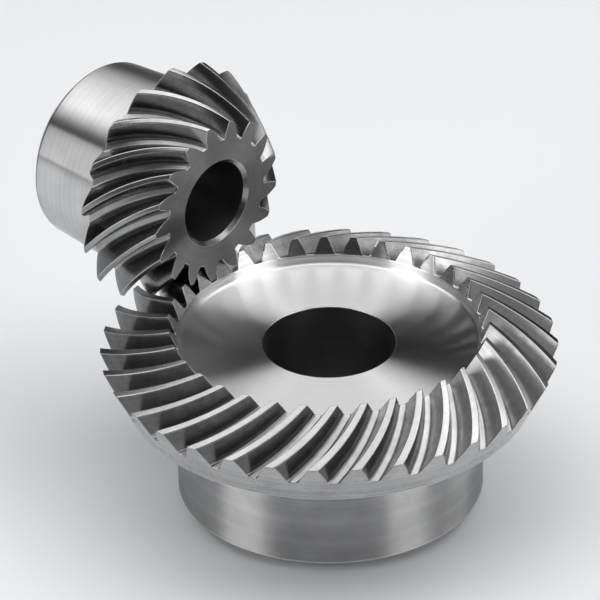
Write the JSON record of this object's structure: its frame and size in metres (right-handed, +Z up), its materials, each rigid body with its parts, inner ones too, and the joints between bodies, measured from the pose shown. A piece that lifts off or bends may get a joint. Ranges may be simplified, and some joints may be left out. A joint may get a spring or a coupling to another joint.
{
  "type": "bevel gear pair",
  "caption": "Spiral bevel gear pair in mesh at a right angle: a wheel with a broad hub and a smaller pinion with a long hub, each bored for a shaft, with thin mounting-distance washers.",
  "frame": {"origin": "centre of the pair's footprint box, on the plane that the wheel's washer stands on", "axes": "+Z up along the wheel's shaft, -X out along the pinion's shaft, +Y across both shafts"},
  "size_m": [0.2096, 0.1724, 0.1509],
  "materials": {
    "wheel_steel": "turned and ground bare steel, satin to bright",
    "pinion_steel": "turned and ground bare steel, satin to bright",
    "washer_steel": "ground spring-steel strip, dull"
  },
  "bodies": {
    "mounting_washers": {"wheel_washer": "washer_steel", "pinion_washer": "washer_steel"},
    "wheel": {"wheel": "wheel_steel"},
    "pinion": {"pinion": "pinion_steel"}
  },
  "joints": [
    {"name": "wheel_spin", "type": "hinge", "parent": "mounting_washers", "child": "wheel", "pos_m": [0.01853, 0, 0.0343], "axis": [0, 0, 1], "continuous": true},
    {"name": "pinion_spin", "type": "hinge", "parent": "mounting_washers", "child": "pinion", "pos_m": [-0.07147, 0, 0.1033], "axis": [-1, 0, 0], "continuous": true}
  ],
  "couplings": [
    {"joint": "pinion_spin", "follows": "wheel_spin", "ratio": 2}
  ]
}
